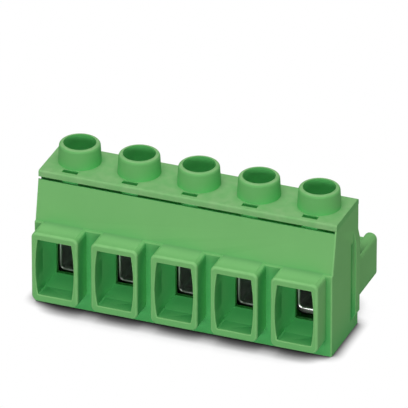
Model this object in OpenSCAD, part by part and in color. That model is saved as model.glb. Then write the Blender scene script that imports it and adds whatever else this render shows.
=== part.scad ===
// Pluggable screw terminal for a row of wires: the plug half of a board connector.
// X runs along the row of poles, Y from the wire side to the plug face, Z up.
// The origin is on the flat base, straight under the middle of the row of clamp screws.

/* [Main sizes] */
// Height from the base to the rims of the chimneys
overall_h = 19.5; // [18.6:0.02:21]
// Length from the rims of the funnels to the plug face
overall_d = 18.68; // [17.2:0.02:19.4]
// Number of poles in the row
poles = 5; // [2:1:12]
// Distance from one pole to the next
pitch = 7.62; // [7.4:0.02:10.16]
// How much narrower the housing is than its poles times the pitch
side_play = 0.2; // [0:0.05:0.4]

/* [Wire clamps] */
// Height of a clamp's floor above the base when the clamp is wide open
clamp_floor = 3.1; // [2.8:0.05:3.6]
// Clear height for the wire when the clamp is wide open
wire_gap = 3.25; // [2.6:0.05:3.8]
// Gap that stays under the current bar when the clamp is closed
closed_gap = 0.3; // [0.1:0.05:0.6]
// Clear width inside a clamp cage
cage_inner_w = 3.25; // [2.9:0.05:3.6]
// Thickness of a cage's side walls
cage_wall = 0.5; // [0.4:0.05:0.6]
// Thickness of a cage's floor
cage_floor_t = 0.9; // [0.7:0.05:1]
// Thickness of a cage's threaded top
cage_top_t = 2; // [1.5:0.1:2.5]
// Length of a cage in the direction of the wire
cage_depth = 4; // [3.4:0.1:4.4]
// Inside radius of a cage's bends
cage_bend_r = 0.35; // [0.3:0.05:0.7]
// Gap between the current bar and the top of an open cage
bar_play = 0.15; // [0.1:0.05:0.4]
// How far the last cage has been wound up from its lowest place
raised_lift = 0.9; // [0:0.01:2]
// Number of grip grooves across a cage's floor
grip_count = 3; // [1:1:5]
// Depth of a grip groove
grip_d = 0.2; // [0.1:0.05:0.3]

/* [Clamp screws] */
// Radius of a clamp screw over its thread
screw_r = 1.45; // [1.2:0.05:1.55]
// Running clearance between a screw and its cage
thread_play = 0.05; // [0.02:0.01:0.1]
// Radius of a screw's head
head_r = 2.1; // [1.9:0.05:2.3]
// Height of a screw's head
head_h = 2.4; // [1.8:0.1:3]
// Gap between a fully raised cage and the screw's head
head_gap = 0.4; // [0.2:0.05:0.8]
// Gap between a screw's head and the cover that keeps it in
head_play = 0.3; // [0.1:0.05:0.6]
// Gap between a screw's tip and the current bar
tip_gap = 0.04; // [0.02:0.01:0.1]
// Width of the screwdriver slot
drive_slot_w = 0.8; // [0.6:0.05:1]
// Depth of the screwdriver slot
drive_slot_d = 1.2; // [0.8:0.1:1.6]
// Bevel on the edges of a screw's head and tip
screw_bevel = 0.25; // [0.1:0.05:0.4]

/* [Contacts] */
// Thickness of the contact strip
contact_t = 0.8; // [0.6:0.05:1]
// Width of the current bar in the clamp
bar_w = 2.6; // [2.2:0.05:2.8]
// How far the current bar's end stays behind the front of the cage
bar_inset = 0.3; // [0.1:0.05:0.6]
// Width of the socket legs in the plug finger
fork_w = 3; // [2.8:0.05:3.4]
// Height over the two socket legs
fork_h = 2.75; // [2.5:0.05:3]
// Gap between the socket legs where they grip a pin
fork_grip = 0.9; // [0.6:0.05:1]
// Distance from the tips of the socket legs to the place where they grip
fork_flare = 1.4; // [1:0.05:2]
// Distance from the plug face back to the tips of the socket legs
fork_recess = 0.9; // [0.5:0.05:1.5]
// Clearance of a contact in the housing
contact_fit = 0.05; // [0.02:0.01:0.1]

/* [Housing] */
// Distance from the screw plane to the lower front face
front_depth = 5.48; // [5.2:0.02:6.2]
// Distance from the screw plane to the rear face
rear_depth = 3.45; // [2.9:0.05:4]
// Height of the ledge on which the leaning part of the front face stands
kink_h = 10.9; // [10:0.05:10.9]
// Depth of that ledge
ledge_d = 0.3; // [0.25:0.05:0.5]
// Radius of the ledge's front edge
ledge_r = 0.2; // [0.1:0.05:0.2]
// How far the top of the front face lies behind its foot
front_lean = 1.3; // [0.8:0.05:1.5]
// Height of the open slit between the front wall and the cover
slit_h = 0.3; // [0.2:0.05:0.5]
// Depth of that slit
slit_d = 1; // [0.6:0.05:1.2]
// Thickness of the lip that stands in front of the slit's sunk floor
slit_lip = 0.2; // [0.15:0.05:0.3]
// How deep the slit's floor is sunk behind that lip
slit_sink = 0.55; // [0.3:0.05:0.7]
// Thickness of the wall that closes the slit at the right end; it runs out at the left end
slit_end_t = 0.2; // [0.1:0.05:0.6]
// Clearance of cages and screw heads in the clamp chambers
well_play = 0.1; // [0.06:0.02:0.16]
// Gap under a cage at its lowest place
floor_play = 0.15; // [0.1:0.05:0.3]

/* [Wire funnels] */
// Outside width of a funnel
funnel_w = 5.94; // [5.6:0.02:6.2]
// How far a funnel stands out in front of the housing
funnel_reach = 2.9; // [2:0.05:3.2]
// Height of a funnel's underside above the base
funnel_bottom = 1.7; // [1.4:0.05:1.9]
// Height of a funnel's top above the base
funnel_top = 10.96; // [10.92:0.02:11.4]
// Radius of a funnel's lower corners
funnel_low_r = 0.8; // [0.6:0.05:1.5]
// Radius of a funnel's upper corners
funnel_top_r = 0.7; // [0.4:0.05:0.9]
// Width of the rim beside the mouth
rim_side = 0.53; // [0.4:0.01:0.6]
// Width of the rim under the mouth
rim_low = 0.95; // [0.7:0.05:1.1]
// Width of the rim over the mouth
rim_top = 0.9; // [0.6:0.02:1]
// How far the mouth's sides bow outwards
mouth_bow = 0.3; // [0.1:0.02:0.35]
// Radius of the mouth's lower corners
mouth_r = 0.5; // [0.4:0.05:0.8]
// Depth of the straight mouth before its walls draw in
mouth_d = 2.2; // [1.8:0.05:2.6]
// Width of the step where the walls start to draw in
mouth_step = 0.08; // [0.04:0.01:0.12]
// Width of the window between the dish and the clamp chamber
window_w = 3.28; // [3:0.02:3.6]
// Height of the window's sill above the floor of an open clamp
sill_rise = 0.2; // [0.1:0.05:0.5]
// Thickness of the wall in which the window sits
window_wall = 0.5; // [0.4:0.05:0.8]
// Depth of the recess that the clamp chamber has behind that wall
recess_d = 0.9; // [0.5:0.05:1.1]

/* [Plug face] */
// Gap between neighbouring plug fingers
finger_gap = 0.5; // [0.4:0.05:1]
// Thickness of a plug finger's wall over its socket
finger_roof_t = 0.6; // [0.5:0.05:0.9]
// Thickness of a plug finger's wall under its socket
finger_floor_t = 1.05; // [0.6:0.05:1.2]
// Radius of the guide ridges along a finger's top
ridge_r = 0.8; // [0.5:0.05:1]
// Bevel on a finger's lower rear edge
finger_lead = 0.25; // [0.2:0.05:0.5]
// Wall between a clamp chamber and its socket
socket_wall = 0.8; // [0.6:0.05:1.2]
// Slanted lead-in beside a socket's opening
socket_lead = 0.4; // [0.2:0.05:0.6]

/* [End faces] */
// Width of the guide rib on an end face
rib_w = 1.35; // [1.2:0.05:1.6]
// How far the guide rib stands out
rib_h = 0.36; // [0.25:0.01:0.5]
// Distance of the guide rib from the rear face
rib_inset = 0.4; // [0.1:0.05:0.6]
// Height of the guide rib's lower end
rib_low = 1.5; // [1.2:0.05:2.5]
// Height of the guide rib's upper end
rib_high = 13.6; // [12.6:0.1:14]
// Length of the guide rib's slanted lower end
rib_slant = 0.6; // [0.4:0.05:0.8]
// Length of the guide rib's slanted upper end
rib_taper = 1.7; // [1.2:0.05:2]
// Width of the groove in front of the guide rib
groove_w = 0.95; // [0.6:0.05:1.2]
// Depth of that groove
groove_d = 0.2; // [0.1:0.02:0.3]

/* [Screw cover] */
// Thickness of the cover's plate
plate_t = 0.8; // [0.6:0.05:1]
// How far the plate's front edge lies behind the top of the front wall
plate_setback = 0.15; // [0:0.05:0.3]
// Radius of the plate's front edge
plate_edge_r = 0.25; // [0.1:0.05:0.4]
// Radius of the plate's rear edge
plate_rear_r = 0.4; // [0.2:0.05:0.5]
// Gap between the plate and the housing's rear face
plate_rear_gap = 0.05; // [0:0.01:0.2]
// Height of the bosses that centre the cover in the clamp chambers
boss_h = 0.85; // [0.5:0.05:1.2]
// Clearance of those bosses in the chambers
boss_fit = 0.05; // [0.02:0.01:0.1]
// Radius of the screwdriver bores
bore_r = 1.98; // [1.8:0.02:2.05]
// Wall of a chimney at its rim
chimney_wall = 0.52; // [0.46:0.01:0.6]
// How much wider a chimney is at its foot
chimney_draft = 0.12; // [0.05:0.01:0.25]
// Radius of a chimney's outer rim edge
chimney_edge_r = 0.4; // [0.15:0.05:0.45]
// Width of a catch slot
slot_w = 1.95; // [1.5:0.05:2.4]
// Length of a catch slot from front to rear
slot_d = 0.72; // [0.5:0.02:0.85]
// Gap between a chimney's foot and its catch slot
slot_gap = 0.08; // [0.04:0.02:0.2]
// Depth of the pocket in the housing under a catch slot
slot_pocket = 0.7; // [0.4:0.05:1]
// Least thickness of a catch leg
catch_t = 0.46; // [0.3:0.02:0.5]
// Length of a catch leg under the plate
catch_len = 2; // [1.5:0.1:2.5]
// Height of the catch's hook
hook_h = 0.7; // [0.5:0.05:0.9]
// How far the hook reaches forward
hook_reach = 0.4; // [0.2:0.05:0.5]
// Clearance of the catch in the housing
catch_fit = 0.06; // [0.03:0.01:0.12]

/* [Hidden] */
$fn = 64;

housing_green = [0.39, 0.64, 0.38];
cover_green = [0.45, 0.69, 0.44];
plated_steel = [0.72, 0.73, 0.74];
zinc_steel = [0.62, 0.64, 0.66];
tinned_copper = [0.78, 0.74, 0.66];

// Extra length of a cut where it leaves the solid, and of a form where it enters the next one
run_out = 0.5;

body_w = poles * pitch - side_play;
front_y = -front_depth;
wall_front_y = front_y + front_lean;

// Heights of the clamp, from the base up to the cover
bar_z = clamp_floor + wire_gap;
bar_top = bar_z + contact_t;
cage_inner_h = bar_top + bar_play - clamp_floor;
cage_travel = wire_gap - closed_gap;
raised_cage_top = clamp_floor + cage_inner_h + cage_top_t + cage_travel;
head_z = raised_cage_top + head_gap;
head_top = head_z + head_h;
boss_z = head_top + head_play;
body_h = boss_z + boss_h;
wall_top = body_h - slit_h;
plate_top = body_h + plate_t;

// Clamp chambers, wide enough for the cage and for the screw's head
cage_w = cage_inner_w + 2 * cage_wall;
well_x = max(cage_w / 2, head_r) + well_play;
well_y = max(cage_depth / 2, head_r) + well_play;
well_floor = clamp_floor - cage_floor_t - floor_play;

// Funnels
rim_y = front_y - funnel_reach;
mouth_w = funnel_w - 2 * rim_side;
mouth_low = funnel_bottom + rim_low;
mouth_high = funnel_top - rim_top;
mouth_end = rim_y + mouth_d;
recess_y = -well_y - recess_d;
window_y = recess_y - window_wall;
window_low = clamp_floor + sill_rise;
window_high = bar_top + bar_play;

// Plug face
finger_w = pitch - finger_gap;
finger_tip = rim_y + overall_d;
plug_z = bar_top - fork_h / 2;
socket_h = fork_h + 2 * contact_fit;
finger_low = plug_z - socket_h / 2 - finger_floor_t;
finger_high = plug_z + socket_h / 2 + finger_roof_t;
socket_y = well_y + socket_wall;
web_y = socket_y + contact_fit;

// Cover
plate_front_y = wall_front_y + plate_setback;
chimney_foot_r = bore_r + chimney_wall + chimney_draft;
slot_rear = max(chimney_foot_r + slot_gap, well_y + catch_t);
catch_z = body_h - catch_len;

function pole_x(i) = (i - (poles + 1) / 2) * pitch;
function cage_lift(i) = i == poles ? raised_lift : 0;

// Repeats its children at every pole
module at_poles() {
    for (i = [1 : poles])
        translate([pole_x(i), 0, 0])
            children();
}

// Repeats its children at both ends of the row
module at_both_ends() {
    for (side = [0, 1])
        mirror([side, 0, 0])
            children();
}

// Extrudes a side view, drawn with Y to the right and Z up
module along_x(x_start, x_end) {
    translate([x_start, 0, 0])
        rotate([90, 0, 90])
            linear_extrude(x_end - x_start)
                children();
}

// Extrudes a front view, drawn with X to the right and Z up
module along_y(y_start, y_end) {
    translate([0, y_end, 0])
        rotate([90, 0, 0])
            linear_extrude(y_end - y_start)
                children();
}

// Extrudes a top view
module along_z(z_start, z_end) {
    translate([0, 0, z_start])
        linear_extrude(z_end - z_start)
            children();
}

// Box given by its half width, its two ends in Y and its two ends in Z
module centred_box(half_w, y_start, y_end, z_start, z_end) {
    translate([-half_w, y_start, z_start])
        cube([2 * half_w, y_end - y_start, z_end - z_start]);
}

// Rectangle on the line of symmetry with one radius below and one above
module rounded_panel(w, low, high, low_r, high_r) {
    mid = (low + high) / 2;
    for (side = [-1, 1]) {
        translate([side * (w / 2 - low_r), low + low_r])
            circle(low_r);
        translate([side * (w / 2 - high_r), high - high_r])
            circle(high_r);
    }
    translate([-w / 2, low + low_r])
        square([w, high - high_r - low - low_r]);
    translate([-w / 2 + low_r, low])
        square([w - 2 * low_r, mid - low]);
    translate([-w / 2 + high_r, mid])
        square([w - 2 * high_r, high - mid]);
}

// Main block: upright lower front with a rounded ledge, leaning upper front
module body_block() {
    lean_rate = (front_lean - ledge_d) / (wall_top - kink_h);
    along_x(-body_w / 2, body_w / 2) {
        polygon([
            [front_y, 0],
            [rear_depth, 0],
            [rear_depth, body_h],
            [wall_front_y + lean_rate * slit_h, body_h],
            [front_y + ledge_d, kink_h],
            [front_y + ledge_r, kink_h],
            [front_y, kink_h - ledge_r]
        ]);
        translate([front_y + ledge_r, kink_h - ledge_r])
            circle(ledge_r);
    }
}

// Outside of one funnel, from its rim into the front wall
module funnel_block() {
    along_y(rim_y, wall_front_y)
        rounded_panel(funnel_w, funnel_bottom, funnel_top, funnel_low_r, funnel_top_r);
}

// Front view of a mouth: straight floor and roof, rounded below, sides bowed outwards
module mouth_outline() {
    half_h = (mouth_high - mouth_low) / 2;
    bow_r = (half_h * half_h + mouth_bow * mouth_bow) / (2 * mouth_bow);
    intersection() {
        translate([-mouth_w / 2, mouth_low])
            square([mouth_w, 2 * half_h]);
        rounded_panel(mouth_w, mouth_low, mouth_high + 2 * mouth_r, mouth_r, mouth_r);
        translate([mouth_w / 2 - bow_r, mouth_low + half_h])
            circle(bow_r, $fn = 256);
        translate([bow_r - mouth_w / 2, mouth_low + half_h])
            circle(bow_r, $fn = 256);
    }
}

// Outer part of the wire's way, straight
module mouth_space() {
    along_y(rim_y - run_out, mouth_end)
        mouth_outline();
}

// Inner part of the wire's way: a dish that draws in to the window of the clamp chamber
module dish_space() {
    overlap = mouth_d / 10;
    half_w = mouth_w / 2 - mouth_step;
    inner_y = recess_y + run_out;
    intersection() {
        along_y(mouth_end - overlap, inner_y)
            intersection() {
                mouth_outline();
                rounded_panel(2 * half_w, mouth_low, mouth_high + 2 * mouth_r, mouth_r, mouth_r);
            }
        along_z(0, body_h)
            polygon([
                [-half_w, mouth_end - overlap],
                [half_w, mouth_end - overlap],
                [half_w, mouth_end],
                [window_w / 2, window_y],
                [window_w / 2, inner_y],
                [-window_w / 2, inner_y],
                [-window_w / 2, window_y],
                [-half_w, mouth_end]
            ]);
        along_x(-mouth_w, mouth_w)
            polygon([
                [mouth_end - overlap, mouth_low],
                [mouth_end, mouth_low],
                [window_y, window_low],
                [inner_y, window_low],
                [inner_y, window_high],
                [window_y, window_high],
                [mouth_end, mouth_high],
                [mouth_end - overlap, mouth_high]
            ]);
    }
}

// Chamber in which a cage slides under its screw, open at the top, with a recess behind the window
module clamp_well() {
    centred_box(well_x, -well_y, well_y, well_floor, body_h + run_out);
    centred_box(well_x, recess_y, 0, well_floor, window_high);
}

// Notch for the cover's catch in the front wall of a chamber, and the pocket under its slot
module catch_notch() {
    half_w = slot_w / 2 + catch_fit;
    low = catch_z - catch_fit;
    centred_box(half_w, -slot_rear - catch_fit, 0, low, body_h + run_out);
    centred_box(half_w, -slot_rear - hook_reach - catch_fit, 0, low, catch_z + hook_h + catch_fit);
    centred_box(half_w, -slot_rear - slot_d, 0, body_h - slot_pocket, body_h + run_out);
}

// Slot in the chamber's rear wall for the current bar, and the socket chamber behind it
module contact_way() {
    centred_box(bar_w / 2 + contact_fit, 0, socket_y + run_out,
        bar_z - contact_fit, bar_top + contact_fit);
    half_w = fork_w / 2 + contact_fit;
    lead_end = half_w + socket_lead + run_out;
    along_z(plug_z - socket_h / 2, plug_z + socket_h / 2)
        polygon([
            [-half_w, socket_y],
            [half_w, socket_y],
            [half_w, finger_tip - socket_lead],
            [lead_end, finger_tip + run_out],
            [-lead_end, finger_tip + run_out],
            [-half_w, finger_tip - socket_lead]
        ]);
}

// Outside of one plug finger, with two guide ridges on top that run smoothly into its sides
module plug_finger() {
    intersection() {
        along_y(rear_depth - run_out, finger_tip) {
            translate([-finger_w / 2, finger_low])
                square([finger_w, finger_high - finger_low]);
            for (side = [-1, 1])
                translate([side * (finger_w / 2 - ridge_r), finger_high])
                    circle(ridge_r);
        }
        along_x(-finger_w, finger_w)
            polygon([
                [0, finger_low],
                [finger_tip - finger_lead, finger_low],
                [finger_tip, finger_low + finger_lead],
                [finger_tip + run_out, finger_low + finger_lead],
                [finger_tip + run_out, finger_high + 2 * ridge_r],
                [0, finger_high + 2 * ridge_r]
            ]);
    }
}

// Upright guide rib on the right end face, with slanted ends
module end_rib() {
    rib_rear = rear_depth - rib_inset;
    along_y(rib_rear - rib_w, rib_rear)
        polygon([
            [body_w / 2 - run_out, rib_low],
            [body_w / 2, rib_low],
            [body_w / 2 + rib_h, rib_low + rib_slant],
            [body_w / 2 + rib_h, rib_high - rib_taper],
            [body_w / 2, rib_high],
            [body_w / 2 - run_out, rib_high]
        ]);
}

// Shallow groove in front of that rib
module end_groove() {
    rib_front = rear_depth - rib_inset - rib_w;
    translate([body_w / 2 - groove_d, rib_front - groove_w, rib_low])
        cube([groove_d + rib_h + run_out, groove_w, rib_high - rib_taper - rib_low]);
}

// Open slit under the cover's front edge, its floor sunk behind a lip
module front_slit() {
    along_x(-body_w / 2 - run_out, body_w / 2 - slit_end_t)
        polygon([
            [front_y, wall_top],
            [wall_front_y + slit_lip, wall_top],
            [wall_front_y + slit_lip, wall_top - slit_sink],
            [wall_front_y + slit_d, wall_top - slit_sink],
            [wall_front_y + slit_d, body_h + run_out],
            [front_y, body_h + run_out]
        ]);
}

// One moulding: funnels, clamp chambers and plug fingers
module housing() {
    color(housing_green)
        difference() {
            union() {
                body_block();
                at_poles() funnel_block();
                at_poles() plug_finger();
                at_both_ends() end_rib();
            }
            at_poles() mouth_space();
            at_poles() dish_space();
            at_poles() clamp_well();
            at_poles() catch_notch();
            at_poles() contact_way();
            at_both_ends() end_groove();
            front_slit();
        }
}

// Plate of the cover, with rounded upper edges in front and behind
module cover_plate() {
    plate_rear_y = rear_depth - plate_rear_gap;
    along_x(-body_w / 2, body_w / 2) {
        polygon([
            [plate_front_y, body_h],
            [plate_rear_y, body_h],
            [plate_rear_y, plate_top - plate_rear_r],
            [plate_rear_y - plate_rear_r, plate_top],
            [plate_front_y + plate_edge_r, plate_top],
            [plate_front_y, plate_top - plate_edge_r]
        ]);
        translate([plate_front_y + plate_edge_r, plate_top - plate_edge_r])
            circle(plate_edge_r);
        translate([plate_rear_y - plate_rear_r, plate_top - plate_rear_r])
            circle(plate_rear_r);
    }
}

// Drafted chimney with a rounded rim, not yet bored
module chimney() {
    rim_r = bore_r + chimney_wall;
    rotate_extrude() {
        polygon([
            [0, body_h],
            [chimney_foot_r, body_h],
            [chimney_foot_r, plate_top],
            [rim_r, overall_h - chimney_edge_r],
            [rim_r - chimney_edge_r, overall_h],
            [0, overall_h]
        ]);
        translate([rim_r - chimney_edge_r, overall_h - chimney_edge_r])
            circle(chimney_edge_r);
    }
}

// Snap catch under a slot: a leg with a hook that faces forward
module catch_leg() {
    along_x(-slot_w / 2, slot_w / 2)
        polygon([
            [-well_y, body_h + plate_t / 2],
            [-slot_rear, body_h + plate_t / 2],
            [-slot_rear, catch_z + hook_h],
            [-slot_rear - hook_reach, catch_z + hook_h],
            [-slot_rear - hook_reach, catch_z + hook_h / 2],
            [-slot_rear, catch_z],
            [-well_y, catch_z]
        ]);
}

// One moulding: plate, chimneys, centring bosses and catches
module screw_cover() {
    color(cover_green)
        difference() {
            union() {
                cover_plate();
                at_poles() chimney();
                at_poles()
                    centred_box(well_x - boss_fit, boss_fit - well_y, well_y - boss_fit,
                        boss_z, plate_top);
                at_poles() catch_leg();
            }
            at_poles()
                translate([0, 0, boss_z - run_out])
                    cylinder(r = bore_r, h = overall_h - boss_z + 2 * run_out);
            at_poles()
                centred_box(slot_w / 2, -slot_rear - slot_d, -slot_rear,
                    body_h - run_out, plate_top + run_out);
        }
}

// Captive clamp screw with a slotted head; its thread runs over the plain shank
module clamp_screw(i) {
    tip_z = bar_top + tip_gap;
    color(zinc_steel)
        translate([pole_x(i), 0, 0])
            difference() {
                rotate_extrude()
                    polygon([
                        [0, tip_z],
                        [screw_r - screw_bevel, tip_z],
                        [screw_r, tip_z + screw_bevel],
                        [screw_r, head_z],
                        [head_r, head_z],
                        [head_r, head_top - screw_bevel],
                        [head_r - screw_bevel, head_top],
                        [0, head_top]
                    ]);
                centred_box(drive_slot_w / 2, -head_r - run_out, head_r + run_out,
                    head_top - drive_slot_d, head_top + run_out);
            }
}

// Clamp cage: a closed loop of plated metal with a threaded top and a grooved floor
module clamp_cage(i) {
    outer_low = clamp_floor - cage_floor_t;
    inner_high = clamp_floor + cage_inner_h;
    outer_high = inner_high + cage_top_t;
    outer_r = cage_bend_r + cage_wall;
    grip_step = cage_depth / (grip_count + 1);
    color(plated_steel)
        translate([pole_x(i), 0, cage_lift(i)])
            difference() {
                along_y(-cage_depth / 2, cage_depth / 2)
                    difference() {
                        rounded_panel(cage_w, outer_low, outer_high, outer_r, outer_r);
                        rounded_panel(cage_inner_w, clamp_floor, inner_high, cage_bend_r, cage_bend_r);
                    }
                translate([0, 0, inner_high - run_out])
                    cylinder(r = screw_r + thread_play, h = cage_top_t + 2 * run_out);
                for (k = [1 : grip_count])
                    translate([0, k * grip_step - cage_depth / 2, clamp_floor])
                        along_x(cage_bend_r - cage_inner_w / 2, cage_inner_w / 2 - cage_bend_r)
                            polygon([[-grip_d, 0], [0, -grip_d], [grip_d, 0], [0, grip_d]]);
            }
}

// Side view of the upper socket leg: it draws in to its gripping point and flares at its tip
module socket_leg() {
    leg_end = finger_tip - fork_recess;
    grip_y = leg_end - fork_flare;
    grip_z = plug_z + fork_grip / 2;
    leg_t = contact_t / 2;
    polygon([
        [web_y, bar_top],
        [web_y, bar_z],
        [web_y + contact_t, bar_z],
        [grip_y, grip_z],
        [leg_end, bar_top - leg_t],
        [leg_end, bar_top],
        [grip_y, grip_z + leg_t],
        [web_y + contact_t + leg_t, bar_top]
    ]);
}

// Contact: current bar through the cage, then a two-legged socket for the header's pin
module contact(i) {
    color(tinned_copper)
        translate([pole_x(i), 0, 0]) {
            centred_box(bar_w / 2, bar_inset - cage_depth / 2, web_y + contact_t, bar_z, bar_top);
            along_x(-fork_w / 2, fork_w / 2) {
                socket_leg();
                translate([0, 2 * plug_z])
                    mirror([0, 1])
                        socket_leg();
                translate([web_y, plug_z - fork_h / 2])
                    square([contact_t, fork_h]);
            }
        }
}

housing();
screw_cover();
for (i = [1 : poles]) {
    clamp_screw(i);
    clamp_cage(i);
    contact(i);
}
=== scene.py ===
import bmesh
import bpy
import math
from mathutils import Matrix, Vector


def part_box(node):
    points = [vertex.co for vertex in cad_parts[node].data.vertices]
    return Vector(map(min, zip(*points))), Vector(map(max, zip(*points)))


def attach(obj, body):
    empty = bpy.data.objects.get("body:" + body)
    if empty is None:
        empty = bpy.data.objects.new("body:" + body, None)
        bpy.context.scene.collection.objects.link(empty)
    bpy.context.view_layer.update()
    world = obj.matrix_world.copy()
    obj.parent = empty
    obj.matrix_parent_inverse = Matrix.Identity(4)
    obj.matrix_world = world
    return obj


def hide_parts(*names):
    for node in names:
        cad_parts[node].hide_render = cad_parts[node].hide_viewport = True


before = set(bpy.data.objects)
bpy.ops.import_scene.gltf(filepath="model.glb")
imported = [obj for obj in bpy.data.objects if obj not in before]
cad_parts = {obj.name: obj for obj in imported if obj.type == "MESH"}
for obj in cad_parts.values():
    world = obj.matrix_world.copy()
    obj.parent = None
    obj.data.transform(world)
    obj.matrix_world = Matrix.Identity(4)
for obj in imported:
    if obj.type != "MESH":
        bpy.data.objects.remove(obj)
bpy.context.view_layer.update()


# Housing: one injection moulding of green polyamide, with five wire funnels on its front and five
# plug fingers at its rear. The mould gives it a fine matt grain, and every edge that can be
# touched is a little rounded.
MM = 0.001
POLE_PITCH = 7.62
HOUSING_LOW, HOUSING_HIGH = (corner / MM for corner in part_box("housing"))
RIM_Y = HOUSING_LOW.y
PLUG_Y = HOUSING_HIGH.y
FRONT_Y = -5.48
FRONT_DEPTH = 1.4
REAR_Y = 3.45
BODY_HALF = 18.95
FUNNEL_MID_Z = 6.4
DISH_HALF = 2.45
DISH_HIGH = 10.1
DISH_Y = -6.18
WINDOW_Y = -3.6
LIP_SHIFT = Vector((0.23, -0.6, 0.35))
CHAMBERS_HALF = 18.2
CHAMBER_LOW, CHAMBER_HIGH = 1.0, 15.2
REAR_WALL_FROM, REAR_WALL_TO = 1.5, 3.3
RIM_OUTER = 0.26
RIM_INNER = 0.12
BODY_EDGE = 0.16
BASE_EDGE = 0.06
FINGER_EDGE = 0.1
RIB_EDGE = 0.06
EDGE_STEPS = 3
ON_FACE = 0.03
ACROSS = 0.1
WELD = 0.002
FLAT_WITHIN = math.radians(0.05)
SHARP = math.radians(28)
CREASE = math.radians(35)
FACE_WEIGHT = 50
EDGE_SLOT = 1


def srgb(red, green, blue):
    """A colour written as it is seen, from 0 to 255, for a shader's colour socket."""
    def linear(value):
        share = value / 255
        return share / 12.92 if share <= 0.04045 else ((share + 0.055) / 1.055) ** 2.4
    return linear(red), linear(green), linear(blue), 1.0


def whole_faced(mesh):
    """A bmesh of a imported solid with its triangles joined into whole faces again."""
    form = bmesh.new()
    form.from_mesh(mesh)
    bmesh.ops.remove_doubles(form, verts=form.verts, dist=WELD * MM)
    bmesh.ops.dissolve_limit(form, angle_limit=FLAT_WITHIN, verts=form.verts, edges=form.edges,
                             use_dissolve_boundaries=False)
    return form


def rounded_piece(form, name, radius_of, largest, steps=EDGE_STEPS):
    """An object of the form with rounded edges. radius_of gives an edge's radius in mm, or 0."""
    weights = form.edges.layers.float.new("bevel_weight_edge")
    for edge in form.edges:
        if len(edge.link_faces) != 2 or edge.calc_face_angle(0) < SHARP:
            continue
        middle = (edge.verts[0].co + edge.verts[1].co) / 2 / MM
        along = (edge.verts[1].co - edge.verts[0].co).normalized()
        normals = [face.normal for face in edge.link_faces]
        edge[weights] = radius_of(middle, along, normals, edge.is_convex) / largest
    mesh = bpy.data.meshes.new(name)
    form.to_mesh(mesh)
    form.free()
    mesh.materials.clear()
    mesh.shade_smooth()
    mesh.set_sharp_from_angle(angle=CREASE)
    rough = bpy.data.objects.new(name + ".rough", mesh)
    bpy.context.scene.collection.objects.link(rough)
    for slot in range(EDGE_SLOT + 1):
        mesh.materials.append(None)
    bevel = rough.modifiers.new("edges", "BEVEL")
    bevel.limit_method = "WEIGHT"
    bevel.width = largest * MM
    bevel.segments = steps
    bevel.use_clamp_overlap = False
    bevel.material = EDGE_SLOT
    bevel.loop_slide = False
    even = rough.modifiers.new("even", "WEIGHTED_NORMAL")
    even.keep_sharp = True
    even.weight = FACE_WEIGHT
    seen = rough.evaluated_get(bpy.context.evaluated_depsgraph_get())
    done = bpy.data.meshes.new_from_object(seen)
    done.name = name
    bpy.data.objects.remove(rough)
    # Marks the rounded faces; on the housing they are lighter in patches, by rubbing and a painted
    # highlight.
    strip = done.attributes.new("rubbing_and_light_mask", "FLOAT", "FACE")
    for face in done.polygons:
        strip.data[face.index].value = 1.0 if face.material_index == EDGE_SLOT else 0.0
        face.material_index = 0
    done.materials.clear()
    piece = bpy.data.objects.new(name, done)
    bpy.context.scene.collection.objects.link(piece)
    return piece


def pole_offset(x):
    """Distance from the nearest pole's middle plane."""
    return x - POLE_PITCH * round(x / POLE_PITCH)


def steepened(form):
    """The form with the dish of each mouth drawn in more steeply towards its window."""
    for corner in form.verts:
        place = corner.co / MM
        side = pole_offset(place.x)
        if abs(side) < DISH_HALF and DISH_Y < place.y < WINDOW_Y + ON_FACE and place.z < DISH_HIGH:
            share = (place.y - DISH_Y) / (WINDOW_Y - DISH_Y)
            inward = -math.copysign(LIP_SHIFT.x, side)
            corner.co += Vector((inward, LIP_SHIFT.y, LIP_SHIFT.z)) * share * MM
    return form


def housing_radius(middle, along, normals, convex):
    """Radius of one edge of the housing, by where the edge lies."""
    if middle.y < RIM_Y + ON_FACE:
        other = min(normals, key=lambda normal: -normal.y)
        outward = Vector((pole_offset(middle.x), middle.z - FUNNEL_MID_Z))
        return RIM_OUTER if Vector((other.x, other.z)).dot(outward) > 0 else RIM_INNER
    if not convex:
        return 0
    at_end = abs(abs(middle.x) - BODY_HALF) < ON_FACE
    if middle.z < ON_FACE:
        return BASE_EDGE
    if at_end and abs(along.x) < ACROSS and middle.y < FRONT_Y + FRONT_DEPTH:
        return BODY_EDGE
    if at_end and middle.y > REAR_Y - ON_FACE:
        return BODY_EDGE
    if middle.y > PLUG_Y - ON_FACE:
        return FINGER_EDGE
    if abs(middle.x) > BODY_HALF + ON_FACE:
        return RIB_EDGE
    return 0


def chamber_shade_share(middle):
    """1 for a face at the rear of a clamp chamber, which is painted dark as shade since hardly any light
    comes there, else 0.
    """
    between_ends = abs(middle.x) < CHAMBERS_HALF
    in_height = CHAMBER_LOW < middle.z < CHAMBER_HIGH
    at_rear = REAR_WALL_FROM < middle.y < REAR_WALL_TO
    return 1.0 if between_ends and in_height and at_rear else 0.0


# Painted shade: the rear faces of the clamp chambers take this dark colour.
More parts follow.
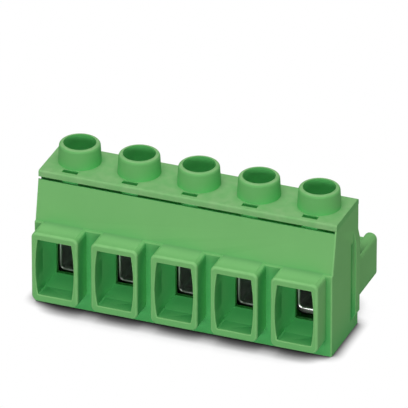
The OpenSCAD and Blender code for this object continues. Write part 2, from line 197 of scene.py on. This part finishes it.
CHAMBER_SHADE_COLOUR = srgb(42, 66, 48)
# Painted light: faces in the narrowest gaps turn this bright green, as if lit by light bounced there.
PAINTED_GAP_LIGHT = srgb(122, 222, 136)
CLOUD_SCALE, CLOUD_DETAIL = 260, 4
GRAIN_DETAIL, GRAIN_ROUGHNESS = 3, 0.6
RUBBING_AND_LIGHT_SCALE = 900
AIR_SAMPLES = 12
# Painted shade: the more a face is enclosed, the more it turns to the recess colour, which stands in for
# shade and the green light bounced in recesses.
RECESS_REACH = 8.0
RECESS_OPEN, RECESS_DEEP = 0.8, 0.2
GAP_WIDE, GAP_NARROW = 0.2, 0.04
GRAIN_SHADE_AND_LIGHT = bpy.data.node_groups.new("grain_shade_and_light", "ShaderNodeTree")
for socket_name, kind, way in (
        ("Colour", "NodeSocketColor", "INPUT"),
        ("Light Colour", "NodeSocketColor", "INPUT"),
        ("Edge Rubbing And Light Colour", "NodeSocketColor", "INPUT"),
        ("Recess Shade Colour", "NodeSocketColor", "INPUT"),
        ("Grain Scale", "NodeSocketFloat", "INPUT"),
        ("Rough Low", "NodeSocketFloat", "INPUT"),
        ("Rough High", "NodeSocketFloat", "INPUT"),
        ("Colour", "NodeSocketColor", "OUTPUT"),
        ("Roughness", "NodeSocketFloat", "OUTPUT"),
        ("Height", "NodeSocketFloat", "OUTPUT")):
    GRAIN_SHADE_AND_LIGHT.interface.new_socket(name=socket_name, in_out=way, socket_type=kind)


def fill_grain_shade_and_light(tree):
    """Cloudy colour with the mould's fine grain, plus painted shade and light. Recesses take a darker,
    more saturated colour as painted shade and bounced light, the narrowest gaps are painted bright as if
    lit, the rear of the chambers is painted dark as shade, and marked faces are lighter in patches:
    edges by rubbing and a painted highlight, the cover's tops by painted light."""
    node, link = tree.nodes.new, tree.links.new
    given, out = node("NodeGroupInput"), node("NodeGroupOutput")
    place = node("ShaderNodeTexCoord")
    clouds = node("ShaderNodeTexNoise")
    clouds.inputs["Scale"].default_value = CLOUD_SCALE
    clouds.inputs["Detail"].default_value = CLOUD_DETAIL
    tone = node("ShaderNodeMix")
    tone.data_type = "RGBA"
    fine = node("ShaderNodeTexNoise")
    fine.inputs["Detail"].default_value = GRAIN_DETAIL
    fine.inputs["Roughness"].default_value = GRAIN_ROUGHNESS
    strip = node("ShaderNodeAttribute")
    strip.attribute_name = "rubbing_and_light_mask"
    rubbing_and_light = node("ShaderNodeTexNoise")
    rubbing_and_light.inputs["Scale"].default_value = RUBBING_AND_LIGHT_SCALE
    rubbing_and_light_amount = node("ShaderNodeMath")
    rubbing_and_light_amount.operation = "MULTIPLY"
    rubbing_and_light_mix = node("ShaderNodeMix")
    rubbing_and_light_mix.data_type = "RGBA"
    open_air = node("ShaderNodeAmbientOcclusion")
    open_air.samples = AIR_SAMPLES
    open_air.inputs["Distance"].default_value = RECESS_REACH * MM
    depth = node("ShaderNodeMapRange")
    depth.inputs["From Min"].default_value = RECESS_OPEN
    depth.inputs["From Max"].default_value = RECESS_DEEP
    recess_shade = node("ShaderNodeMix")
    recess_shade.data_type = "RGBA"
    narrow = node("ShaderNodeMapRange")
    narrow.inputs["From Min"].default_value = GAP_WIDE
    narrow.inputs["From Max"].default_value = GAP_NARROW
    gap_light = node("ShaderNodeMix")
    gap_light.data_type = "RGBA"
    gap_light.inputs["B"].default_value = PAINTED_GAP_LIGHT
    inside = node("ShaderNodeAttribute")
    inside.attribute_name = "inside"
    dark = node("ShaderNodeMix")
    dark.data_type = "RGBA"
    dark.inputs["B"].default_value = CHAMBER_SHADE_COLOUR
    shine = node("ShaderNodeMapRange")
    link(place.outputs["Object"], clouds.inputs["Vector"])
    link(place.outputs["Object"], fine.inputs["Vector"])
    link(place.outputs["Object"], rubbing_and_light.inputs["Vector"])
    link(given.outputs["Grain Scale"], fine.inputs["Scale"])
    link(clouds.outputs["Fac"], tone.inputs["Factor"])
    link(given.outputs["Colour"], tone.inputs["A"])
    link(given.outputs["Light Colour"], tone.inputs["B"])
    link(open_air.outputs["AO"], depth.inputs["Value"])
    link(depth.outputs["Result"], recess_shade.inputs["Factor"])
    link(tone.outputs["Result"], recess_shade.inputs["A"])
    link(given.outputs["Recess Shade Colour"], recess_shade.inputs["B"])
    link(open_air.outputs["AO"], narrow.inputs["Value"])
    link(narrow.outputs["Result"], gap_light.inputs["Factor"])
    link(recess_shade.outputs["Result"], gap_light.inputs["A"])
    link(inside.outputs["Fac"], dark.inputs["Factor"])
    link(gap_light.outputs["Result"], dark.inputs["A"])
    # Marked faces are lighter in patches: edges by rubbing and a painted highlight, the cover's tops by
    # painted light.
    link(strip.outputs["Fac"], rubbing_and_light_amount.inputs[0])
    link(rubbing_and_light.outputs["Fac"], rubbing_and_light_amount.inputs[1])
    link(rubbing_and_light_amount.outputs["Value"], rubbing_and_light_mix.inputs["Factor"])
    link(dark.outputs["Result"], rubbing_and_light_mix.inputs["A"])
    link(given.outputs["Edge Rubbing And Light Colour"], rubbing_and_light_mix.inputs["B"])
    link(fine.outputs["Fac"], shine.inputs["Value"])
    link(given.outputs["Rough Low"], shine.inputs["To Min"])
    link(given.outputs["Rough High"], shine.inputs["To Max"])
    link(rubbing_and_light_mix.outputs["Result"], out.inputs["Colour"])
    link(shine.outputs["Result"], out.inputs["Roughness"])
    link(fine.outputs["Fac"], out.inputs["Height"])


fill_grain_shade_and_light(GRAIN_SHADE_AND_LIGHT)
GRAIN_SCALE = 9000
GRAIN_STRENGTH, GRAIN_HEIGHT = 0.25, 0.01
MATT_LOW, MATT_HIGH = 0.66, 0.82
PLASTIC_IOR = 1.5
PLASTIC_SPECULAR = 0.1


def moulded_plastic(name, colour, light, edge, recess_shade):
    """A green moulding: the group of grain, painted shade and painted light feeds one plain shader."""
    material = bpy.data.materials.new(name)
    material.use_nodes = True
    tree = material.node_tree
    shader = tree.nodes["Principled BSDF"]
    grain = tree.nodes.new("ShaderNodeGroup")
    grain.node_tree = GRAIN_SHADE_AND_LIGHT
    grain.inputs["Colour"].default_value = colour
    grain.inputs["Light Colour"].default_value = light
    grain.inputs["Edge Rubbing And Light Colour"].default_value = edge
    grain.inputs["Recess Shade Colour"].default_value = recess_shade
    grain.inputs["Grain Scale"].default_value = GRAIN_SCALE
    grain.inputs["Rough Low"].default_value = MATT_LOW
    grain.inputs["Rough High"].default_value = MATT_HIGH
    bump = tree.nodes.new("ShaderNodeBump")
    bump.inputs["Strength"].default_value = GRAIN_STRENGTH
    bump.inputs["Distance"].default_value = GRAIN_HEIGHT * MM
    shader.inputs["IOR"].default_value = PLASTIC_IOR
    shader.inputs["Specular IOR Level"].default_value = PLASTIC_SPECULAR
    tree.links.new(grain.outputs["Colour"], shader.inputs["Base Color"])
    tree.links.new(grain.outputs["Roughness"], shader.inputs["Roughness"])
    tree.links.new(grain.outputs["Height"], bump.inputs["Height"])
    tree.links.new(bump.outputs["Normal"], shader.inputs["Normal"])
    return material


housing = rounded_piece(steepened(whole_faced(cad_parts["housing"].data)), "housing_moulding",
                        housing_radius, RIM_OUTER)
# Painted shade: marks the rear faces of the clamp chambers, to be painted dark.
inside = housing.data.attributes.new("inside", "FLOAT", "FACE")
for face in housing.data.polygons:
    inside.data[face.index].value = chamber_shade_share(face.center / MM)
# Colours: two cloudy tones of the moulding, its edges, lighter by rubbing and a painted highlight, and its
# recesses, in painted shade and bounced light.
housing.data.materials.append(moulded_plastic(
    "housing_polyamide", srgb(108, 169, 101), srgb(114, 175, 106), srgb(132, 190, 122), srgb(64, 168, 90)))
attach(housing, "plug")
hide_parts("housing")


# Contacts: five strips of tinned copper alloy, blanked and folded. Each is the current bar in a
# clamp and ends as two springy legs in a plug finger, pushed in from the rear.
POLES = 5
CONTACT_EDGE = 0.06
BROKEN_STEPS = 2


def contact_radius(middle, along, normals, convex):
    """Blanked edges of a contact are only just broken."""
    return CONTACT_EDGE if convex else 0


LINE_DETAIL = 4
DULL_SCALE, DULL_DETAIL = 700, 3
# Painted shade: metal faces in recesses turn to the darker hollow colour.
SHADE_REACH = 3.0
SHADE_BEGINS, SHADE_FULL = 0.36, 0.14
STREAKS_AND_SHADE = bpy.data.node_groups.new("streaks_and_shade", "ShaderNodeTree")
for socket_name, kind, way in (
        ("Colour", "NodeSocketColor", "INPUT"),
        ("Dull Colour", "NodeSocketColor", "INPUT"),
        ("Hollow Shade Colour", "NodeSocketColor", "INPUT"),
        ("Scale", "NodeSocketVector", "INPUT"),
        ("Rough Low", "NodeSocketFloat", "INPUT"),
        ("Rough High", "NodeSocketFloat", "INPUT"),
        ("Colour", "NodeSocketColor", "OUTPUT"),
        ("Roughness", "NodeSocketFloat", "OUTPUT"),
        ("Height", "NodeSocketFloat", "OUTPUT")):
    STREAKS_AND_SHADE.interface.new_socket(name=socket_name, in_out=way, socket_type=kind)


def fill_streaks_and_shade(tree):
    """Long fine lines of rolled or drawn metal, cloudy dull patches, and painted shade in recesses."""
    node, link = tree.nodes.new, tree.links.new
    given, out = node("NodeGroupInput"), node("NodeGroupOutput")
    place = node("ShaderNodeTexCoord")
    stretch = node("ShaderNodeVectorMath")
    stretch.operation = "MULTIPLY"
    lines = node("ShaderNodeTexNoise")
    lines.inputs["Scale"].default_value = 1
    lines.inputs["Detail"].default_value = LINE_DETAIL
    dull = node("ShaderNodeTexNoise")
    dull.inputs["Scale"].default_value = DULL_SCALE
    dull.inputs["Detail"].default_value = DULL_DETAIL
    tone = node("ShaderNodeMix")
    tone.data_type = "RGBA"
    open_air = node("ShaderNodeAmbientOcclusion")
    open_air.samples = AIR_SAMPLES
    open_air.inputs["Distance"].default_value = SHADE_REACH * MM
    depth = node("ShaderNodeMapRange")
    depth.inputs["From Min"].default_value = SHADE_BEGINS
    depth.inputs["From Max"].default_value = SHADE_FULL
    hollow_shade_mix = node("ShaderNodeMix")
    hollow_shade_mix.data_type = "RGBA"
    shine = node("ShaderNodeMapRange")
    link(place.outputs["Object"], stretch.inputs[0])
    link(given.outputs["Scale"], stretch.inputs[1])
    link(stretch.outputs["Vector"], lines.inputs["Vector"])
    link(place.outputs["Object"], dull.inputs["Vector"])
    link(dull.outputs["Fac"], tone.inputs["Factor"])
    link(given.outputs["Colour"], tone.inputs["A"])
    link(given.outputs["Dull Colour"], tone.inputs["B"])
    link(lines.outputs["Fac"], shine.inputs["Value"])
    link(given.outputs["Rough Low"], shine.inputs["To Min"])
    link(given.outputs["Rough High"], shine.inputs["To Max"])
    link(open_air.outputs["AO"], depth.inputs["Value"])
    link(depth.outputs["Result"], hollow_shade_mix.inputs["Factor"])
    link(tone.outputs["Result"], hollow_shade_mix.inputs["A"])
    link(given.outputs["Hollow Shade Colour"], hollow_shade_mix.inputs["B"])
    link(hollow_shade_mix.outputs["Result"], out.inputs["Colour"])
    link(shine.outputs["Result"], out.inputs["Roughness"])
    link(lines.outputs["Fac"], out.inputs["Height"])


fill_streaks_and_shade(STREAKS_AND_SHADE)
LINE_STRENGTH, LINE_HEIGHT = 0.2, 0.01


def streaked_metal(name, colour, dull, hollow_shade, scale, rough):
    """A bright metal: the streak group feeds one plain shader."""
    material = bpy.data.materials.new(name)
    material.use_nodes = True
    tree = material.node_tree
    shader = tree.nodes["Principled BSDF"]
    shader.inputs["Metallic"].default_value = 1.0
    streaks = tree.nodes.new("ShaderNodeGroup")
    streaks.node_tree = STREAKS_AND_SHADE
    streaks.inputs["Colour"].default_value = colour
    streaks.inputs["Dull Colour"].default_value = dull
    streaks.inputs["Hollow Shade Colour"].default_value = hollow_shade
    streaks.inputs["Scale"].default_value = scale
    streaks.inputs["Rough Low"].default_value = rough[0]
    streaks.inputs["Rough High"].default_value = rough[1]
    bump = tree.nodes.new("ShaderNodeBump")
    bump.inputs["Strength"].default_value = LINE_STRENGTH
    bump.inputs["Distance"].default_value = LINE_HEIGHT * MM
    tree.links.new(streaks.outputs["Colour"], shader.inputs["Base Color"])
    tree.links.new(streaks.outputs["Roughness"], shader.inputs["Roughness"])
    tree.links.new(streaks.outputs["Height"], bump.inputs["Height"])
    tree.links.new(bump.outputs["Normal"], shader.inputs["Normal"])
    return material


tinned_copper = streaked_metal(
    "tinned_copper", srgb(205, 198, 184), srgb(186, 168, 142), srgb(120, 110, 96),
    scale=(9000, 500, 9000), rough=(0.24, 0.42))
for pole in range(1, POLES + 1):
    contact = rounded_piece(whole_faced(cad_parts[f"contact_{pole}"].data),
                            f"contact_strip_{pole}", contact_radius, CONTACT_EDGE, BROKEN_STEPS)
    contact.data.materials.append(tinned_copper)
    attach(contact, "plug")
    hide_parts(f"contact_{pole}")


# Clamp cages: five closed loops bent from plated steel strip, each with a thick threaded top and
# a grooved floor that presses the wire up against the current bar.
CAGE_EDGE = 0.2
CAGE_HALF_DEPTH = 2.0


def cage_radius(middle, along, normals, convex):
    """The strip's long edges are rolled round; the grip grooves stay crisp."""
    if convex and abs(abs(middle.y) - CAGE_HALF_DEPTH) < ON_FACE:
        return CAGE_EDGE
    return 0


plated_steel = streaked_metal(
    "plated_steel", srgb(244, 244, 243), srgb(216, 216, 214), srgb(84, 64, 70),
    scale=(9000, 700, 9000), rough=(0.3, 0.42))
for pole in range(1, POLES + 1):
    cage = rounded_piece(whole_faced(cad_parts[f"clamp_cage_{pole}"].data),
                         f"clamp_loop_{pole}", cage_radius, CAGE_EDGE)
    cage.data.materials.append(plated_steel)
    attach(cage, f"cage_{pole}")
    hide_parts(f"clamp_cage_{pole}")


# Clamp screws: five captive screws of zinc-plated steel, turned and thread-rolled, with a plain
# cylindrical head and one driver slot. The cover keeps each of them in its chamber.
THREAD_PITCH = 0.5
THREAD_DEPTH = 0.27
THREAD_CREST = 0.125
SHANK_R = 1.45
ROOT_R = SHANK_R - THREAD_DEPTH
RUN_OUT = 0.1
HEAD_R = 2.1
HEAD_H = 2.4
HEAD_BEVEL = 0.25
UNDER_BEVEL = 0.08
TIP_R = SHANK_R - HEAD_BEVEL
TIP_STEP = 0.15
SLOT_W = 0.8
SLOT_DEPTH = 1.2
SLOT_LENGTH = 3 * HEAD_R
SLOT_EDGE = 0.06
ROUND_STEPS = 48
THREAD_STEPS = 8


def screw_form(low, high):
    """The turned screw with its thread, standing on the z axis, from its tip to the top of its head."""
    head_low = high - HEAD_H
    neck = head_low - THREAD_PITCH
    rows = [[(TIP_R - TIP_STEP, low)] * ROUND_STEPS]
    count = int((neck - low) / THREAD_PITCH * THREAD_STEPS)
    for k in range(count + 1):
        z = low + (neck - low) * k / count
        row = []
        for a in range(ROUND_STEPS):
            turn = (z / THREAD_PITCH - a / ROUND_STEPS) % 1.0
            flank = abs(2 * turn - 1)
            share = (1 + 2 * THREAD_CREST) * flank - THREAD_CREST
            cut = THREAD_DEPTH * min(1.0, max(0.0, share))
            row.append((min(SHANK_R - cut, TIP_R + (z - low)), z))
        rows.append(row)
    for r, z in ((ROOT_R, neck + RUN_OUT), (ROOT_R, head_low), (HEAD_R - UNDER_BEVEL, head_low),
                 (HEAD_R, head_low + UNDER_BEVEL), (HEAD_R, high - HEAD_BEVEL),
                 (HEAD_R - HEAD_BEVEL, high)):
        rows.append([(r, z)] * ROUND_STEPS)
    form = bmesh.new()
    rings = []
    for row in rows:
        rings.append([form.verts.new((r * math.cos(math.tau * a / ROUND_STEPS) * MM,
                                      r * math.sin(math.tau * a / ROUND_STEPS) * MM, z * MM))
                      for a, (r, z) in enumerate(row)])
    for lower, upper in zip(rings, rings[1:]):
        for a in range(ROUND_STEPS):
            b = (a + 1) % ROUND_STEPS
            form.faces.new((lower[a], lower[b], upper[b], upper[a]))
    form.faces.new(list(reversed(rings[0])))
    form.faces.new(rings[-1])
    return form


def slotted(form, high):
    """Cuts the driver slot across the head and returns the cut form."""
    blank_mesh = bpy.data.meshes.new("screw_blank")
    form.to_mesh(blank_mesh)
    form.free()
    blank = bpy.data.objects.new("screw_blank", blank_mesh)
    cutter_form = bmesh.new()
    made = bmesh.ops.create_cube(cutter_form, size=1.0)
    for corner in made["verts"]:
        corner.co = Vector((corner.co.x * SLOT_W, corner.co.y * SLOT_LENGTH,
                            high + corner.co.z * 2 * SLOT_DEPTH)) * MM
    cutter_mesh = bpy.data.meshes.new("slot_cutter")
    cutter_form.to_mesh(cutter_mesh)
    cutter_form.free()
    cutter = bpy.data.objects.new("slot_cutter", cutter_mesh)
    for thing in (blank, cutter):
        bpy.context.scene.collection.objects.link(thing)
    cut = blank.modifiers.new("slot", "BOOLEAN")
    cut.operation = "DIFFERENCE"
    cut.solver = "EXACT"
    cut.object = cutter
    seen = blank.evaluated_get(bpy.context.evaluated_depsgraph_get())
    result = bmesh.new()
    result.from_mesh(seen.to_mesh())
    seen.to_mesh_clear()
    bpy.data.objects.remove(blank)
    bpy.data.objects.remove(cutter)
    return result


def slot_radius(screw_x, head_top):
    """A rule for one screw: only its slot's upper edges are broken; the head's bevel is turned."""
    def radius_of(middle, along, normals, convex):
        on_top = abs(middle.z - head_top) < ON_FACE
        at_slot = abs(abs(middle.x - screw_x) - SLOT_W / 2) < ON_FACE
        return SLOT_EDGE if convex and on_top and at_slot else 0
    return radius_of


zinc_steel = streaked_metal(
    "zinc_steel", srgb(206, 208, 210), srgb(176, 180, 186), srgb(120, 122, 126),
    scale=(1500, 1500, 12000), rough=(0.22, 0.4))
for pole in range(1, POLES + 1):
    lowest, highest = (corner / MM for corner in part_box(f"clamp_screw_{pole}"))
    screw_x = (lowest.x + highest.x) / 2
    turned = slotted(screw_form(lowest.z, highest.z), highest.z)
    bmesh.ops.translate(turned, verts=turned.verts, vec=Vector((screw_x * MM, 0, 0)))
    screw = rounded_piece(turned, f"slotted_screw_{pole}", slot_radius(screw_x, highest.z),
                          SLOT_EDGE, BROKEN_STEPS)
    screw.data.materials.append(zinc_steel)
    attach(screw, f"screw_{pole}")
    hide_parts(f"clamp_screw_{pole}")


# Screw cover: a second moulding of the same polyamide, a thin plate with five chimneys that guide
# the screwdriver. It snaps on top of the housing with one catch in front of each chimney. The top and
# front edge of its plate and the tops of the chimneys' rims carry painted light: lighter than the rest, in
# patches.
PLATE_LOW, PLATE_TOP = 16.2, 17.0
FRONT_BAND = 0.2
PLATE_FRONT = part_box("screw_cover")[0].y / MM + FRONT_BAND
PLATE_FACING = 0.3
RIM_LOW = 19.4
RIM_FACING = 0.7


def lit_face_share(middle, normal):
    """1 for a face painted lighter as lit: the plate's top or front edge, or a chimney's rim, else 0."""
    on_plate = PLATE_LOW < middle.z < PLATE_TOP + ON_FACE
    at_front = middle.y < PLATE_FRONT and normal.y < -PLATE_FACING
    on_rim = middle.z > RIM_LOW and normal.z > RIM_FACING
    return 1.0 if on_rim or (on_plate and (at_front or normal.z > PLATE_FACING)) else 0.0


cover_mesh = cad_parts["screw_cover"].data.copy()
cover_mesh.name = "cover_moulding"
cover_mesh.materials.clear()
rubbing_and_light = cover_mesh.attributes.new("rubbing_and_light_mask", "FLOAT", "FACE")
for face in cover_mesh.polygons:
    rubbing_and_light.data[face.index].value = lit_face_share(face.center / MM, face.normal)
cover = bpy.data.objects.new("cover_moulding", cover_mesh)
bpy.context.scene.collection.objects.link(cover)
# Colours: two cloudy tones of the moulding, its painted top light, and its recesses, in painted shade and
# bounced light.
cover.data.materials.append(moulded_plastic(
    "cover_polyamide", srgb(97, 164, 94), srgb(102, 169, 98), srgb(137, 179, 124), srgb(84, 194, 102)))
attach(cover, "plug")
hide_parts("screw_cover")


# Floor, light and camera: a white sheet in a pale room, lit by soft lamps overhead, low in front
# and at the right. The camera sees the sheet white, with a painted shadow that is darker the more the
# connector covers it, widely and again close to its edges, and a long lens looks at the front from
# the right and from above.
FLOOR_HALF = 1.5
FLOOR_GREY = 0.4
FLOOR_SAMPLES = 32
SHADES = (
    {"label": "wide", "reach": 14.0, "covered": 0.155, "clear": 0.558, "darkest": 0.12},
    {"label": "close", "reach": 1.6, "covered": 0.5, "clear": 1.0, "darkest": 0.08})
ROOM_LIGHT = 0.24
WHITE = (1, 1, 1, 1)
floor_mesh = bpy.data.meshes.new("floor")
floor_mesh.from_pydata([(-FLOOR_HALF, -FLOOR_HALF, 0), (FLOOR_HALF, -FLOOR_HALF, 0),
                        (FLOOR_HALF, FLOOR_HALF, 0), (-FLOOR_HALF, FLOOR_HALF, 0)], [], [(0, 1, 2, 3)])
floor = bpy.data.objects.new("floor", floor_mesh)
bpy.context.scene.collection.objects.link(floor)


def white_seen(tree):
    """A value that is 1 for what the camera sees, straight, mirrored or through glass."""
    path = tree.nodes.new("ShaderNodeLightPath")
    mirrored = tree.nodes.new("ShaderNodeMath")
    mirrored.operation = "MAXIMUM"
    through = tree.nodes.new("ShaderNodeMath")
    through.operation = "MAXIMUM"
    tree.links.new(path.outputs["Is Camera Ray"], mirrored.inputs[0])
    tree.links.new(path.outputs["Is Glossy Ray"], mirrored.inputs[1])
    tree.links.new(mirrored.outputs["Value"], through.inputs[0])
    tree.links.new(path.outputs["Is Transmission Ray"], through.inputs[1])
    return through.outputs["Value"]


paper = bpy.data.materials.new("white_paper")
paper.use_nodes = True
sheet = paper.node_tree
sheet.nodes.remove(sheet.nodes["Principled BSDF"])
dim = sheet.nodes.new("ShaderNodeBsdfDiffuse")
dim.inputs["Color"].default_value = (FLOOR_GREY, FLOOR_GREY, FLOOR_GREY, 1)
white = sheet.nodes.new("ShaderNodeEmission")
# Painted shadow: the white that the camera sees is dimmed by how much the connector covers the sheet.
shadow = sheet.nodes.new("ShaderNodeMath")
shadow.operation = "MULTIPLY"
for part, shade in enumerate(SHADES):
    open_floor = sheet.nodes.new("ShaderNodeAmbientOcclusion")
    open_floor.label = shade["label"]
    open_floor.samples = FLOOR_SAMPLES
    open_floor.inputs["Distance"].default_value = shade["reach"] * MM
    share = sheet.nodes.new("ShaderNodeMapRange")
    share.inputs["From Min"].default_value = shade["covered"]
    share.inputs["From Max"].default_value = shade["clear"]
    share.inputs["To Min"].default_value = shade["darkest"]
    sheet.links.new(open_floor.outputs["AO"], share.inputs["Value"])
    sheet.links.new(share.outputs["Result"], shadow.inputs[part])
both = sheet.nodes.new("ShaderNodeMixShader")
sheet.links.new(shadow.outputs["Value"], white.inputs["Strength"])
sheet.links.new(white_seen(sheet), both.inputs["Fac"])
sheet.links.new(dim.outputs["BSDF"], both.inputs[1])
sheet.links.new(white.outputs["Emission"], both.inputs[2])
sheet.links.new(both.outputs["Shader"], sheet.nodes["Material Output"].inputs["Surface"])
floor_mesh.materials.append(paper)

room = bpy.data.worlds.new("pale_room")
bpy.context.scene.world = room
room.use_nodes = True
walls = room.node_tree
even_light = walls.nodes["Background"]
even_light.inputs["Color"].default_value = WHITE
even_light.inputs["Strength"].default_value = ROOM_LIGHT
white_back = walls.nodes.new("ShaderNodeBackground")
white_back.inputs["Color"].default_value = WHITE
white_back.inputs["Strength"].default_value = 1.0
pick = walls.nodes.new("ShaderNodeMixShader")
walls.links.new(white_seen(walls), pick.inputs["Fac"])
walls.links.new(even_light.outputs["Background"], pick.inputs[1])
walls.links.new(white_back.outputs["Background"], pick.inputs[2])
walls.links.new(pick.outputs["Shader"], walls.nodes["World Output"].inputs["Surface"])

LOOK_AT = Vector((0.602, 0.04, 14.228)) * MM


def soft_lamp(name, place, wide, high, watts):
    """A soft box that looks at the middle of the connector."""
    data = bpy.data.lights.new(name, "AREA")
    data.shape = "RECTANGLE"
    data.size = wide
    data.size_y = high
    data.energy = watts
    lamp = bpy.data.objects.new(name, data)
    lamp.location = place
    lamp.rotation_mode = "QUATERNION"
    lamp.rotation_quaternion = (LOOK_AT - Vector(place)).to_track_quat("-Z", "Y")
    bpy.context.scene.collection.objects.link(lamp)


soft_lamp("overhead_lamp", (0.0, -0.05, 0.6), wide=0.5, high=0.5, watts=3.0)
soft_lamp("front_lamp", (0.06, -0.6, 0.08), wide=0.4, high=0.14, watts=1.95)
soft_lamp("side_lamp", (0.6, 0.05, 0.12), wide=0.3, high=0.2, watts=0.35)

AZIMUTH = math.radians(21.25)
ELEVATION = math.radians(28.79)
CAMERA_FAR = 1.113
FRAME_WIDTH = 48.46 * MM
SENSOR_WIDTH = 36
CLIP_NEAR, CLIP_FAR = 0.1, 10
camera_data = bpy.data.cameras.new("camera")
camera_data.sensor_width = SENSOR_WIDTH
camera_data.lens = SENSOR_WIDTH * CAMERA_FAR / FRAME_WIDTH
camera_data.clip_start = CLIP_NEAR
camera_data.clip_end = CLIP_FAR
camera = bpy.data.objects.new("camera", camera_data)
back = Vector((math.sin(AZIMUTH) * math.cos(ELEVATION), -math.cos(AZIMUTH) * math.cos(ELEVATION),
               math.sin(ELEVATION)))
camera.location = LOOK_AT + back * CAMERA_FAR
camera.rotation_mode = "QUATERNION"
camera.rotation_quaternion = (-back).to_track_quat("-Z", "Y")
bpy.context.scene.collection.objects.link(camera)
bpy.context.scene.camera = camera
bpy.context.scene.view_settings.view_transform = "Standard"
